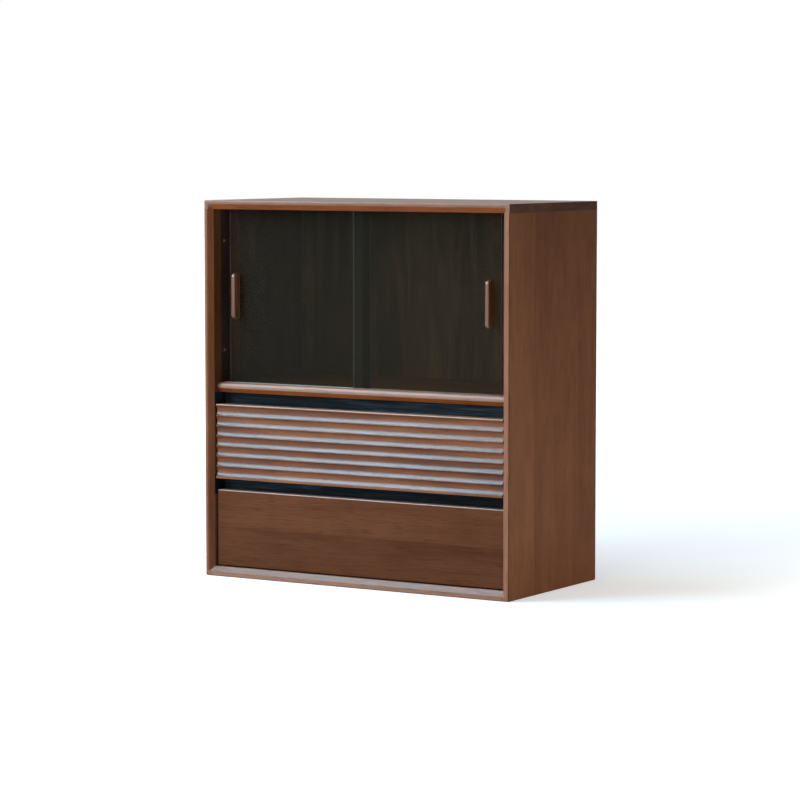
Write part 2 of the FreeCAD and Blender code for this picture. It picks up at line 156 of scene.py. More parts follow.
def noise(tree, place, scales, detail=2.0, distortion=0.0):
    """Cloudy noise, with a scale for each axis."""
    squeeze = tree.nodes.new("ShaderNodeMapping")
    squeeze.inputs["Scale"].default_value = scales
    tree.links.new(place, squeeze.inputs["Vector"])
    cloud = tree.nodes.new("ShaderNodeTexNoise")
    cloud.inputs["Scale"].default_value = 1.0
    cloud.inputs["Detail"].default_value = detail
    cloud.inputs["Distortion"].default_value = distortion
    tree.links.new(squeeze.outputs["Vector"], cloud.inputs["Vector"])
    return cloud.outputs["Fac"]


def emboss(tree, shader, height, strength, distance):
    """Gives the shader a fine relief."""
    relief = tree.nodes.new("ShaderNodeBump")
    relief.inputs["Strength"].default_value = strength
    relief.inputs["Distance"].default_value = distance
    tree.links.new(height, relief.inputs["Height"])
    tree.links.new(relief.outputs["Normal"], shader.inputs["Normal"])


def stained_wood(name, along, across, tones, stave=0.105, shift=0.1, rough=0.36, shine=0.3, figure=1.0,
                 grain=0.34):
    """Straight-grained wood in glued staves: drifting figure, fine fibres, open pores and a satin oil."""
    finish, tree, shader, place = new_finish(name)
    nodes, links = tree.nodes, tree.links

    # staves: each strip has its own tone and its own piece of grain
    split = nodes.new("ShaderNodeSeparateXYZ")
    links.new(place, split.inputs[0])
    counted = math_node(tree, "MULTIPLY_ADD", split.outputs["XYZ".index(across)], 1 / stave, shift)
    chance = nodes.new("ShaderNodeTexWhiteNoise")
    chance.noise_dimensions = "1D"
    links.new(math_node(tree, "FLOOR", counted), chance.inputs["W"])
    moved = nodes.new("ShaderNodeVectorMath")
    moved.operation = "MULTIPLY_ADD"
    moved.inputs[1].default_value = (4, 4, 4)
    links.new(chance.outputs["Color"], moved.inputs[0])
    links.new(place, moved.inputs[2])
    glue_line = math_node(tree, "LESS_THAN", math_node(tree, "FRACT", counted), 0.006)

    def stretched(lengthwise, crosswise, detail):
        scales = [crosswise] * 3
        scales["XYZ".index(along)] = lengthwise
        return noise(tree, moved.outputs[0], scales, detail, distortion=0.25)

    def added(pattern, weight, total):
        return math_node(tree, "MULTIPLY_ADD", math_node(tree, "SUBTRACT", pattern, 0.5), weight, total)

    drift = stretched(0.9, 9.0, 3)
    rings = math_node(tree, "SINE", math_node(tree, "MULTIPLY", drift, 52.0))
    mottle = stretched(9.0, 17.0, 4)
    fibre = stretched(9.0, 400.0, 2)
    pores = map_range(tree, stretched(24.0, 700.0, 0), 0.0, 1.0, start=0.60, end=0.72)

    tone = added(drift, 0.7 * figure, 0.5)
    tone = math_node(tree, "MULTIPLY_ADD", rings, 0.045 * figure, tone)
    tone = added(mottle, 0.4, tone)
    tone = added(fibre, grain, tone)
    tone = added(chance.outputs["Value"], 0.22, tone)
    ramp = nodes.new("ShaderNodeValToRGB")
    ramp.color_ramp.elements[0].position = 0.22
    ramp.color_ramp.elements[1].position = 0.80
    ramp.color_ramp.elements.new(0.5)
    for stop, colour in zip(ramp.color_ramp.elements, tones):
        stop.color = (*colour, 1)
    links.new(tone, ramp.inputs["Fac"])

    # pores and glue lines darken the tone; a Mix node's colours are inputs 6 and 7 and output 2
    dark = nodes.new("ShaderNodeMix")
    dark.data_type = "RGBA"
    dark.blend_type = "MULTIPLY"
    dark.inputs[7].default_value = (0.42, 0.36, 0.33, 1)
    links.new(ramp.outputs["Color"], dark.inputs[6])
    links.new(math_node(tree, "MAXIMUM", math_node(tree, "MULTIPLY", pores, 0.5),
                        math_node(tree, "MULTIPLY", glue_line, 0.35)), dark.inputs[0])
    links.new(dark.outputs[2], shader.inputs["Base Color"])

    polish = map_range(tree, fibre, rough - 0.05, rough + 0.06, start=0.25, end=0.75)
    links.new(polish, shader.inputs["Roughness"])
    height = math_node(tree, "SUBTRACT", math_node(tree, "MULTIPLY", fibre, 0.5), pores)
    emboss(tree, shader, height, 0.2, 0.0005)
    shader.inputs["Specular IOR Level"].default_value = shine
    return finish


# each kind of face has its own tones, matched to the photo under the lamps at the end of this file
face_tones = (0.080, 0.026, 0.009), (0.112, 0.040, 0.014), (0.150, 0.058, 0.022)
# the noses and the shelf's front edge are much lighter than the faces: partly stain worn off the edges,
# partly a painted highlight where the rounded nose catches the lamps
lying_nose_wear_and_highlight_tones = (0.190, 0.078, 0.042), (0.250, 0.110, 0.063), (0.310, 0.148, 0.090)
# the bevels' tones are painted light: a warm orange glow on the bevels that face down, and a painted
# highlight on those that turn up
lying_bevel_painted_light_tones = (0.205, 0.046, 0.010), (0.295, 0.075, 0.018), (0.370, 0.107, 0.029)
upturned_bevel_painted_highlight_tones = (0.160, 0.064, 0.032), (0.208, 0.089, 0.046), (0.256, 0.116, 0.063)
shelf_edge_wear_and_highlight_tones = (0.250, 0.112, 0.064), (0.320, 0.155, 0.094), (0.385, 0.200, 0.128)
bottom_nose_wear_and_highlight_tones = (0.222, 0.090, 0.048), (0.290, 0.127, 0.071), (0.358, 0.170, 0.101)
standing_nose_wear_and_highlight_tones = (0.215, 0.080, 0.040), (0.280, 0.112, 0.060), (0.345, 0.150, 0.085)
# painted shade: the left bevels take this darker copy, while the right bevels, which face the light, take the
# nose tones
left_bevel_shaded_tones = (0.115, 0.032, 0.010), (0.165, 0.050, 0.017), (0.215, 0.072, 0.027)
end_tones = (0.036, 0.014, 0.007), (0.058, 0.025, 0.013), (0.088, 0.041, 0.022)
black_tones = (0.004, 0.007, 0.009), (0.010, 0.017, 0.022), (0.040, 0.058, 0.070)
inside_tones = (0.078, 0.030, 0.014), (0.116, 0.045, 0.022), (0.160, 0.066, 0.033)
# painted shade: a near-black strip on the sides' inner faces, from the front of the glass track to a little
# behind it
door_strip_shade_tones = (0.024, 0.016, 0.013), (0.035, 0.025, 0.020), (0.052, 0.038, 0.030)
one_stave = 0.5
side_staves = {"stave": 0.146, "shift": 20.603}
lying_finishes = {
    "face": stained_wood("stained_ash_lying", "X", "Y", face_tones, rough=0.42, shine=0.2),
    "nose": stained_wood("routed_nose_wear_and_highlight_lying", "X", "Z", lying_nose_wear_and_highlight_tones, one_stave, figure=0.6, shine=0.34),
    "bevel": stained_wood("routed_bevel_painted_light_lying", "X", "Y", lying_bevel_painted_light_tones, one_stave, shine=0.1),
    "end": stained_wood("sawn_end_lying", "Y", "Y", end_tones, rough=0.6, shine=0.06),
    "upturned_bevel": stained_wood("burnished_bevel_painted_highlight_lying", "X", "Y", upturned_bevel_painted_highlight_tones, one_stave,
                                   rough=0.32, shine=0.36),
    "shelf_edge": stained_wood("worn_and_highlit_shelf_edge", "X", "Y", shelf_edge_wear_and_highlight_tones, one_stave,
                               figure=0.6, rough=0.36, shine=0.5),
    "bottom_nose": stained_wood("worn_and_highlit_bottom_nose", "X", "Z", bottom_nose_wear_and_highlight_tones, one_stave,
                                figure=0.6, shine=0.4),
}
standing_finishes = {
    "face": stained_wood("stained_ash_standing", "Z", "Y", face_tones, **side_staves, rough=0.5, shine=0.06),
    "nose": stained_wood("routed_nose_wear_and_highlight_standing", "Z", "X", standing_nose_wear_and_highlight_tones, one_stave,
                         figure=0.6, shine=0.2),
    "bevel": stained_wood("routed_bevel_painted_shade_standing", "Z", "Y", left_bevel_shaded_tones, one_stave, shine=0.1),
    "end": stained_wood("sawn_end_standing", "Y", "Y", end_tones, rough=0.6, shine=0.06),
    # painted shade: the sides' inner faces within the finger gaps take the rails' near-black tones, standing
    # for the shadow there
    "gap": stained_wood("gap_painted_shade_standing", "Z", "Y", black_tones, one_stave,
                        rough=0.5, shine=0.04, figure=2.0),
    "inside": stained_wood("dark_inside_standing", "Z", "Y", inside_tones, **side_staves,
                           rough=0.55, shine=0.05),
    "rebate": stained_wood("door_strip_painted_shade", "Z", "Y", door_strip_shade_tones, one_stave, rough=0.6, shine=0.03),
    "upturned_bevel": lying_finishes["upturned_bevel"],
}
# painted light and shade: the right corner cones take the lit nose tones, the left ones the shaded bevel
# tones
lying_finishes["lit_right_corner"] = standing_finishes["nose"]
lying_finishes["shaded_left_corner"] = standing_finishes["bevel"]

# where the edges and faces of the boards lie, in metres
case_low, case_high = cad_box
near, snug = 0.0005, 0.0004
front = case_low.y + near
nose_back = case_low.y + 0.0035
bevel_back = case_low.y + 0.010
bevel_reach = case_low.y + 0.012
side_end = case_high.x - near
side_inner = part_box("right_side_panel")[0].x
top_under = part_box("top_panel")[0].z
gap_rails = [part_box(node) for node in ("upper_gap_rail", "lower_gap_rail")]
shelf_low, shelf_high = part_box("middle_shelf")
shelf_middle = (shelf_low + shelf_high) / 2
shelf_front = shelf_low.y + near
shelf_bevel_back = shelf_low.y + 0.010
track_low, track_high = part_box("lower_glass_track")
# the back edge of the strip that is painted as shade just behind the glass track
shaded_strip_back = track_high + Vector((0, 0.018, 0))


def on_case_arris(start, end):
    """True for an edge where two of the case's outer planes meet."""
    planes = [
        (abs(point.x) > side_end, point.y < front, point.y > case_high.y - near,
         point.z > case_high.z - near, point.z < case_low.z + near)
        for point in (start, end)
    ]
    return sum(a and b for a, b in zip(*planes)) > 1


def on_joint(start, end):
    """True for an edge in a plane where two boards meet, which stays crisp so that the joint closes."""
    return all(abs(point.z - top_under) < snug for point in (start, end)) or all(
        abs(abs(point.x) - side_inner) < snug for point in (start, end))


def front_nose(start, end):
    """True for an inner edge of the nose."""
    return max(start.y, end.y) < front and not on_case_arris(start, end) and not on_joint(start, end)


def bevel_end(start, end):
    """True for the edge where the bevel runs out."""
    return all(abs(point.y - bevel_back) < snug for point in (start, end))


def cap_joint(start, end):
    """True for the outer edge of the joint between the top and a side."""
    return all(abs(point.x) > side_end and abs(point.z - top_under) < snug for point in (start, end))


def round_nose_corners(board, radius, steps):
    """Turns each inner corner of the nose in an arc with a small cone below it, as the router's bit does."""
    least_run = 0.005
    skin = bmesh.new()
    skin.from_mesh(board.data)
    mitres = []
    for edge in skin.edges:
        low, high = sorted(edge.verts, key=lambda corner: corner.co.y)
        if low.co.y < front and min(abs(part) for part in high.co - low.co) > least_run:
            mitres.append((edge, low, abs(high.co.x - low.co.x)))
    for mitre, tip, width in mitres:
        nose = next(face for face in tip.link_faces if face.normal.y < -0.9)
        sides = [edge for edge in tip.link_edges if edge is not mitre]
        apex = bmesh.utils.edge_split(mitre, tip, radius / width)[1]
        ends = [bmesh.utils.edge_split(edge, tip, radius / edge.calc_length())[1] for edge in sides]
        for face in list(tip.link_faces):
            if face is not nose:
                bmesh.utils.face_split(face, apex, next(end for end in ends if end in face.verts[:]))
        ring = nose.verts[:]
        place = ring.index(tip)
        first, last = ring[place - 1], ring[(place + 1) % len(ring)]
        middle = first.co + last.co - tip.co
        to_first, to_last = first.co - middle, last.co - middle
        arc = []
        for step in range(1, steps):
            turn = math.pi / 2 * step / steps
            arc.append(skin.verts.new(middle + to_first * math.cos(turn) + to_last * math.sin(turn)))
        outline = ring[:place] + arc + ring[place + 1:]
        chain = [first, *arc, last]
        bmesh.ops.delete(skin, geom=[tip], context="VERTS")
        skin.faces.new(outline).normal_update()
        for one, two in zip(chain, chain[1:]):
            skin.faces.new((two, one, apex))
    skin.normal_update()
    skin.to_mesh(board.data)
    skin.free()


def on_inner_face(centre, normal):
    """True for a face of a side board that looks into the case."""
    return abs(normal.x) > 0.9 and abs(centre.x) < side_inner + 0.0015


def score_inside(board, *lines):
    """Scores the inner face of a side board along straight lines, where one stain gives way to the next."""
    pick(board)
    bpy.ops.object.mode_set(mode="EDIT")
    bpy.ops.mesh.select_mode(type="FACE")
    for place, across in lines:
        bpy.ops.mesh.select_all(action="DESELECT")
        skin = bmesh.from_edit_mesh(board.data)
        for face in skin.faces:
            if on_inner_face(face.calc_center_median(), face.normal):
                face.select_set(True)
        bmesh.update_edit_mesh(board.data)
        bpy.ops.mesh.bisect(plane_co=place, plane_no=across)
    bpy.ops.object.mode_set(mode="OBJECT")


def lying_finish(centre, normal):
    """The finish of a face of the top or the bottom."""
    if abs(centre.x) > case_high.x - 0.0015 and abs(normal.x) > 0.6:
        return "end"
    if centre.y < nose_back and normal.y < -0.2 and -0.3 < normal.z < 0.94:
        return "nose" if centre.z > shelf_middle.z else "bottom_nose"
    if normal.y < -0.35 and centre.y < bevel_reach:
        if abs(normal.x) > abs(normal.z):
            # corner cones: painted light on the right, painted shade on the left
            return "lit_right_corner" if centre.x > 0 else "shaded_left_corner"
        return "bevel" if normal.z < 0 else "upturned_bevel"
    return "face"


def standing_finish(centre, normal):
    """The finish of a face of a side board."""
    if abs(normal.z) > 0.8:
        return "end"
    if on_inner_face(centre, normal):
        if centre.z > shelf_middle.z:
            # from the track's front to a little behind the glass, the inner face is painted dark as shade
            return "inside" if centre.y > shaded_strip_back.y else "rebate" if centre.y > track_low.y else "face"
        # beside the gap rails the inner face is painted black as shade
        beside_gap = any(low.z < centre.z < high.z and centre.y < low.y for low, high in gap_rails)
        return "gap" if beside_gap else "face"
    if abs(centre.x) > case_high.x - 0.0022 or abs(normal.x) > 0.9:
        return "face"
    if centre.y < nose_back and -0.9 < normal.x < 0.12:
        return "nose"
    if normal.y < -0.35 and centre.y < bevel_reach:
        if normal.z > abs(normal.x):
            return "upturned_bevel"
        # painted light and shade: a right bevel faces the light and takes the nose tones, a left one the
        # darker bevel tones
        return "nose" if centre.x > 0 else "bevel"
    return "face"


def shelf_finish(centre, normal):
    """The finish of a face of the middle shelf."""
    if centre.y < shelf_low.y + 0.0155 and normal.z > -0.4:
        return "shelf_edge"
    return "bevel" if normal.y < -0.35 and normal.z < -0.2 else "face"


level_cut, upright_cut = (0, 0, 1), (0, 1, 0)
for node in ("top_panel", "left_side_panel", "right_side_panel", "bottom_panel"):
    board = board_copy(node, node + "_board")
    round_nose_corners(board, 0.007, 5)
    soften(board, 0.0026, 4, on_case_arris)
    soften(board, 0.0030, 4, front_nose, shortest=0.001)
    soften(board, 0.0008, 2, bevel_end)
    soften(board, 0.0005, 1, cap_joint)
    if node in ("top_panel", "bottom_panel"):
        dress(board, lying_finishes, lying_finish, "case", "case_wood", node)
    else:
        score_inside(
            board, (shelf_middle, level_cut), (gap_rails[0][0], upright_cut), (track_low, upright_cut),
            (shaded_strip_back, upright_cut), *((corner, level_cut) for rail in gap_rails for corner in rail))
        dress(board, standing_finishes, standing_finish, "case", "case_wood", node)

shelf = board_copy("middle_shelf", "middle_shelf_board")
soften(shelf, 0.0085, 8,
       lambda start, end: max(start.y, end.y) < shelf_front and min(start.z, end.z) > shelf_high.z - near)
soften(shelf, 0.0014, 2,
       lambda start, end: max(start.y, end.y) < shelf_front and max(start.z, end.z) < shelf_low.z + 0.011)
soften(shelf, 0.0008, 2,
       lambda start, end: abs(start.y - shelf_bevel_back) + abs(end.y - shelf_bevel_back) < 2 * snug)
dress(shelf, lying_finishes, shelf_finish, "case", "case_wood", "middle_shelf")

# Back panel: a thin veneered board, stained as the case is, its grain standing upright.
# It slides into grooves round the case, a thumb's breadth in from the rear edges.
inner_tones = (0.046, 0.024, 0.012), (0.076, 0.041, 0.021), (0.116, 0.065, 0.035)
veneer = {"stave": 0.19, "shift": 0.458, "rough": 0.5, "shine": 0.08}
back_finishes = {
    "outside": stained_wood("stained_veneer_back", "Z", "X", face_tones, **veneer, figure=1.7, grain=0.6),
    "inside": stained_wood("stained_veneer_inside", "Z", "X", inner_tones, **veneer, figure=2.4, grain=1.0),
}
back = board_copy("back_panel", "back_panel_board")
soften(back, 0.0008, 1, lambda start, end: True)
dress(back, back_finishes, lambda centre, normal: "inside" if normal.y < -0.5 else "outside",
      "case", "back_wood", "back_panel")

# Case dowels: round pins, cut to length from plain beech rod.
# They are glued into the ends of the boards and hidden once the case is closed.
beech_tones = (0.42, 0.27, 0.15), (0.50, 0.34, 0.20), (0.58, 0.41, 0.26)
beech = stained_wood("plain_beech", "X", "Z", beech_tones, one_stave, rough=0.55)
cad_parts["case_dowels"].material_slots[0].material = beech

# Gap rails: two boards behind the finger gaps, stained blue-black so that the gaps read as shadow.
# The stain leaves the ash's open grain to be seen and felt.
black_finish = stained_wood("black_stained_ash", "X", "Z", black_tones, one_stave,
                            rough=0.45, shine=0.06, figure=2.0, grain=1.3)


def all_over(centre, normal):
    """The finish of every face of a piece that has only one."""
    return "all"


def along_case(start, end):
    """True for an edge that runs from side to side."""
    return abs(start.x - end.x) > 0.1


for node in ("upper_gap_rail", "lower_gap_rail"):
    rail = board_copy(node, node + "_board")
    soften(rail, 0.001, 2, along_case)
    dress(rail, {"all": black_finish}, all_over, "case", "black_stained_wood", node)

# Glass tracks: extruded plastic strips with two slots, pressed into grooves in the shelf and the top.
# Milky grey and a little waxy, with fine draw lines along their length.


def two_tones(tree, shader, value, low, high, start=0.0):
    """Colours the shader from low to high as the value grows."""
    tint = tree.nodes.new("ShaderNodeValToRGB")
    tint.color_ramp.elements[0].position = start
    tint.color_ramp.elements[0].color = (*low, 1)
    tint.color_ramp.elements[1].color = (*high, 1)
    tree.links.new(value, tint.inputs["Fac"])
    tree.links.new(tint.outputs["Color"], shader.inputs["Base Color"])


track_finish, tree, shader, place = new_finish("milky_track_plastic")
draw_lines = noise(tree, place, (2.0, 900.0, 900.0))
two_tones(tree, shader, draw_lines, (0.36, 0.37, 0.38), (0.50, 0.51, 0.52))
tree.links.new(map_range(tree, draw_lines, 0.36, 0.50), shader.inputs["Roughness"])
emboss(tree, shader, draw_lines, 0.15, 0.0003)
for node in ("lower_glass_track", "upper_glass_track"):
    strip = board_copy(node, node + "_strip")
    soften(strip, 0.0003, 1, along_case)
    dress(strip, {"all": track_finish}, all_over, "case", "track_plastic", node)

# Door bumpers: small clear silicone studs stuck to the side panels, two to each pane.
# They take the knock when a door is pushed home.
bumper_finish, tree, shader, place = new_finish("clear_silicone")
haze = noise(tree, place, (900.0, 900.0, 900.0))
two_tones(tree, shader, haze, (0.20, 0.20, 0.19), (0.34, 0.34, 0.33))
tree.links.new(map_range(tree, haze, 0.20, 0.34), shader.inputs["Roughness"])
shader.inputs["Transmission Weight"].default_value = 0.7
shader.inputs["IOR"].default_value = 1.41
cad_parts["door_bumpers"].material_slots[0].material = bumper_finish

# Drawer slides: three rolled steel channels, one in the other, zinc plated, a pair to each drawer.
# Ball retainers of thin strip run between them, and the plating shows long rolling marks.


def plated_steel(name, low, high, smooth):
    """Zinc-plated strip with rolling marks along its length and faint spangle."""
    finish, tree, shader, place = new_finish(name)
    marks = noise(tree, place, (700.0, 6.0, 700.0), detail=3.0)
    spangle = tree.nodes.new("ShaderNodeTexVoronoi")
    spangle.inputs["Scale"].default_value = 130.0
    tree.links.new(place, spangle.inputs["Vector"])
    mottled = math_node(tree, "MULTIPLY_ADD", spangle.outputs["Distance"], 0.35, marks)
    two_tones(tree, shader, mottled, low, high, start=0.3)
    tree.links.new(map_range(tree, marks, smooth - 0.08, smooth + 0.12), shader.inputs["Roughness"])
    emboss(tree, shader, marks, 0.12, 0.0002)
    shader.inputs["Metallic"].default_value = 1.0
    return finish


zinc = plated_steel("zinc_plated_steel", (0.48, 0.50, 0.53), (0.70, 0.72, 0.75), 0.34)
strip_steel = plated_steel("bright_strip_steel", (0.40, 0.38, 0.33), (0.62, 0.60, 0.54), 0.28)
for drawer in ("upper", "lower"):
    for hand in ("left", "right"):
        for member in ("case_member", "middle_member", "drawer_member"):
            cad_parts[f"{drawer}_{hand}_slide_{member}"].material_slots[0].material = zinc
        for member in ("outer_retainer", "inner_retainer"):
            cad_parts[f"{drawer}_{hand}_slide_{member}"].material_slots[0].material = strip_steel

# Drawer boxes: plain pale ash boards, 12 to 15 mm thick, glued and screwed at the corners.
# A thin plywood bottom sits in a groove, and the front screws on from inside.
pale_tones = (0.36, 0.22, 0.115), (0.46, 0.30, 0.165), (0.56, 0.385, 0.225)
ply_tones = (0.44, 0.29, 0.16), (0.54, 0.37, 0.22), (0.62, 0.45, 0.28)
box_long = stained_wood("pale_ash_lengthwise", "Y", "Z", pale_tones, one_stave, rough=0.5, figure=1.2)
box_cross = stained_wood("pale_ash_crosswise", "X", "Z", pale_tones, one_stave, rough=0.5, figure=1.2)
box_ply = stained_wood("plywood_bottom", "X", "Y", ply_tones, stave=0.6, rough=0.55, figure=1.6)
box_finishes = {"left": box_long, "right": box_long, "front": box_cross, "back": box_cross, "bottom": box_ply}


def long_edge(start, end):
    """True for an edge along a board, and false for one across its thickness."""
    return (end - start).length > 0.1


for drawer in ("upper", "lower"):
    for board_name, finish in box_finishes.items():
        node = f"{drawer}_box_{board_name}"
        board = board_copy(node, node + "_board")
        soften(board, 0.0009, 2, long_edge)
        dress(board, {"all": finish}, all_over, f"{drawer}_drawer", "box_wood", node)

# Drawer screws: domed, zinc-plated heads hold each front from inside its box, the slides to the box sides,
# and the box's corners, where they are sunk almost flush.
# Each has a cross recess pressed in cold, and its shank is hidden in the wood.
head_radius, head_height = 0.0042, 0.0024
recess_size = 0.0046, 0.0011, 0.0026
bpy.ops.object.select_all(action="DESELECT")
bpy.ops.mesh.primitive_cylinder_add(vertices=28, radius=head_radius, depth=head_height,
                                    location=(0, 0, head_height / 2))
head = bpy.context.active_object
bpy.ops.object.transform_apply(location=True, rotation=True, scale=True)
soften(head, 0.0016, 4, lambda start, end: min(start.z, end.z) > head_height - 0.0001, shortest=0)
for turn in (0, math.pi / 2):
    bpy.ops.object.select_all(action="DESELECT")
    bpy.ops.mesh.primitive_cube_add(size=1, location=(0, 0, head_height), rotation=(0, 0, turn))
    punch = bpy.context.active_object
    punch.scale = recess_size
    pick(head)
    bpy.ops.object.modifier_add(type="BOOLEAN")
    head.modifiers[-1].operation = "DIFFERENCE"
    head.modifiers[-1].object = punch
    bpy.ops.object.modifier_apply(modifier=head.modifiers[-1].name)
    bpy.data.objects.remove(punch)

front_across, front_inset = 0.25, 0.035
corner_front_inset, corner_back_inset, corner_height_inset = 0.0075, 0.006, 0.02
slide_screws = 0.035, 0.130, 0.265
sunk_in_box, proud_of_slide = 0.0018, 0.0012
golden_turn = 2.4
for drawer in ("upper", "lower"):
    low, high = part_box(f"{drawer}_box_front")
    seats = [((x, high.y, z), (0, 1, 0)) for x in (-front_across, front_across)
             for z in (low.z + front_inset, high.z - front_inset)]
    for side, hand in ((-1, "left"), (1, "right")):
        low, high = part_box(f"{drawer}_box_{hand}")
        face = side * (max(abs(low.x), abs(high.x)) - sunk_in_box)
        seats += [((face, y, z), (side, 0, 0))
                  for y in (low.y + corner_front_inset, high.y - corner_back_inset)
                  for z in (low.z + corner_height_inset, high.z - corner_height_inset)]
        low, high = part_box(f"{drawer}_{hand}_slide_drawer_member")
        face = side * (min(abs(low.x), abs(high.x)) + proud_of_slide)
        seats += [((face, low.y + along, (low.z + high.z) / 2), (side, 0, 0)) for along in slide_screws]
    heads = []
    for seat, facing in seats:
        screw = bpy.data.objects.new("screw", head.data.copy())
        turned = Vector(facing).to_track_quat("Z", "Y").to_matrix().to_4x4()
        driven = Matrix.Rotation(golden_turn * len(heads), 4, "Z")
        screw.data.transform(Matrix.Translation(seat) @ turned @ driven)
        bpy.context.scene.collection.objects.link(screw)
        heads.append(screw)
    bpy.ops.object.select_all(action="DESELECT")
    for screw in heads:
        screw.select_set(True)
    bpy.context.view_layer.objects.active = heads[0]
    bpy.ops.object.join()
    heads[0].name = heads[0].data.name = f"{drawer}_drawer_screws"
    dress(heads[0], {"all": zinc}, all_over, f"{drawer}_drawer", "slide_steel")
bpy.data.objects.remove(head)

# Louvered drawer front: a thick board with seven coves cut along it by a round cutter.
# The crests between them are sanded to a fine round, and each slope's tone is matched to the photo.
louver_tones = (0.120, 0.031, 0.008), (0.195, 0.054, 0.014), (0.280, 0.088, 0.026)
# painted highlight: the rounded top edges of both drawer fronts are much lighter than the faces
top_edge_highlight_tones = (0.260, 0.130, 0.080), (0.330, 0.175, 0.112), (0.400, 0.225, 0.150)
# painted light and shade: each slope of a cove takes its own copy of the stain, its tone scaled by which way
# the face turns: lightest on the slopes that face ahead, somewhat darker on the down-facing side by the
# crest, and much darker on the upturned slopes so that their highlight stays blue-white; shine and roughness
# change from slope to slope as well
cove_slopes = -0.45, -0.20, 0.05, 0.22, 0.36, 0.66
cove_shade_and_shine = ((0.92, 0.20, 0.28), (1.05, 0.27, 0.34), (1.08, 0.35, 0.40), (0.84, 0.38, 0.34),
              (0.57, 0.44, 0.27), (0.43, 0.55, 0.25), (0.58, 0.27, 0.28))
louver_finishes = {}
for step, (depth, shine, rough) in enumerate(cove_shade_and_shine):
    tones = [tuple(depth * part for part in tone) for tone in louver_tones]
    louver_finishes[f"cove_{step}"] = stained_wood(f"coved_ash_{step}", "X", "Z", tones, one_stave, shift=0.2,
                                                   rough=rough, shine=shine, figure=1.7)
louver_finishes["top_edge"] = stained_wood("rounded_top_edge_painted_highlight", "X", "Z", top_edge_highlight_tones, one_stave,
                                           rough=0.3, shine=0.6, figure=0.6)
louver_finishes["end"] = stained_wood("coved_ash_end", "Y", "Z", end_tones, stave=0.094,
                                      rough=0.6, shine=0.06)
louver_low, louver_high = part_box("louvered_drawer_front")


def louver_finish(centre, normal):
    """The finish of a face of the louvered front, which follows the slope within each cove."""
    if abs(normal.x) > 0.8:
        return "end"
    if centre.z > louver_high.z - 0.0029 and normal.z > 0.3:
        return "top_edge"
    return f"cove_{sum(normal.z > slope for slope in cove_slopes)}"


louver = board_copy("louvered_drawer_front", "louvered_front_board")
soften(louver, 0.00028, 2,
       lambda start, end: max(start.y, end.y) < louver_low.y + near and along_case(start, end))
soften(louver, 0.0008, 2,
       lambda start, end: min(start.y, end.y) > louver_low.y + 0.0045 or abs(start.z - end.z) > 0.05)
dress(louver, louver_finishes, louver_finish, "upper_drawer", "front_wood", "louvered_drawer_front")

# Plain drawer front: one wide board of the same stained ash, planed flat and oiled.
# Its top edge is rounded for the fingers, and it is screwed to its box from inside.
plain_tones = (0.082, 0.0235, 0.0085), (0.116, 0.0365, 0.0140), (0.156, 0.0530, 0.0220)
plain_finishes = {
    "face": stained_wood("plain_front_ash", "X", "Z", plain_tones, stave=0.0875, shift=0.72,
                         rough=0.5, shine=0.06, figure=0.8),
    "top_edge": louver_finishes["top_edge"],
    "end": louver_finishes["end"],
}
plain = board_copy("plain_drawer_front", "plain_front_board")
soften(plain, 0.001, 2, lambda start, end: True)
dress(plain, plain_finishes,
      lambda centre, normal: "end" if abs(normal.x) > 0.8 else "top_edge" if normal.z > 0.3 else "face",
      "lower_drawer", "front_wood", "plain_drawer_front")

# Glass doors: two panes of smoked float glass with ground edges, one in each slot of the tracks.
# The body of the glass is grey-olive, and the ground edges look pale and greenish.
# The darker band on the rear pane's meeting edge follows a strip in the photo, and its cause is a guess.


def smoked_glass(name, tint, clearness):
    """Float glass dyed through, with faint wiping marks and a thin haze where it isn't quite clear."""
    finish, tree, shader, place = new_finish(name)
    shader.inputs["Base Color"].default_value = (*tint, 1)
    shader.inputs["Transmission Weight"].default_value = clearness
    # an index of one gives no reflections: the lamps' rare glints would only show as grain
    shader.inputs["IOR"].default_value = 1.0
    smear = noise(tree, place, (14.0, 14.0, 14.0), detail=5.0)
    wiped = map_range(tree, smear, 0.01, 0.05, start=0.45, end=0.80)
    tree.links.new(wiped, shader.inputs["Roughness"])

    # light passes more freely than sight does, so that the compartment behind the glass is lit
    rays = tree.nodes.new("ShaderNodeLightPath")
    open_way = tree.nodes.new("ShaderNodeBsdfTransparent")
    open_way.inputs["Color"].default_value = (0.90, 0.88, 0.83, 1)
    choice = tree.nodes.new("ShaderNodeMixShader")
    tree.links.new(rays.outputs["Is Shadow Ray"], choice.inputs["Fac"])
    tree.links.new(shader.outputs["BSDF"], choice.inputs[1])
    tree.links.new(open_way.outputs["BSDF"], choice.inputs[2])
    tree.links.new(choice.outputs["Shader"], tree.nodes["Material Output"].inputs["Surface"])
    return finish


edge_finish, tree, shader, place = new_finish("ground_glass_edge")
grind = noise(tree, place, (1400.0, 1400.0, 1400.0))
two_tones(tree, shader, grind, (0.088, 0.096, 0.085), (0.150, 0.162, 0.145))
emboss(tree, shader, grind, 0.2, 0.0001)
shader.inputs["Roughness"].default_value = 0.35
pane_finishes = {
    "glass": smoked_glass("smoked_glass", (0.47, 0.43, 0.34), 0.982),
    "edge": edge_finish,
    "band": smoked_glass("smoked_meeting_band", (0.20, 0.19, 0.16), 0.998),
}
band_width = 0.021
band_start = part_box("left_glass_pane")[1].x - band_width


def front_pane_finish(centre, normal):
    """The finish of a face of the right pane, which is ground on all four edges."""
    return "glass" if abs(normal.y) > 0.95 else "edge"


def rear_pane_finish(centre, normal):
    """The finish of a face of the left pane, whose upright edges are left clear."""
    if abs(normal.y) > 0.95:
        return "band" if centre.x > band_start else "glass"
    return "glass" if abs(normal.x) > 0.9 else "edge"


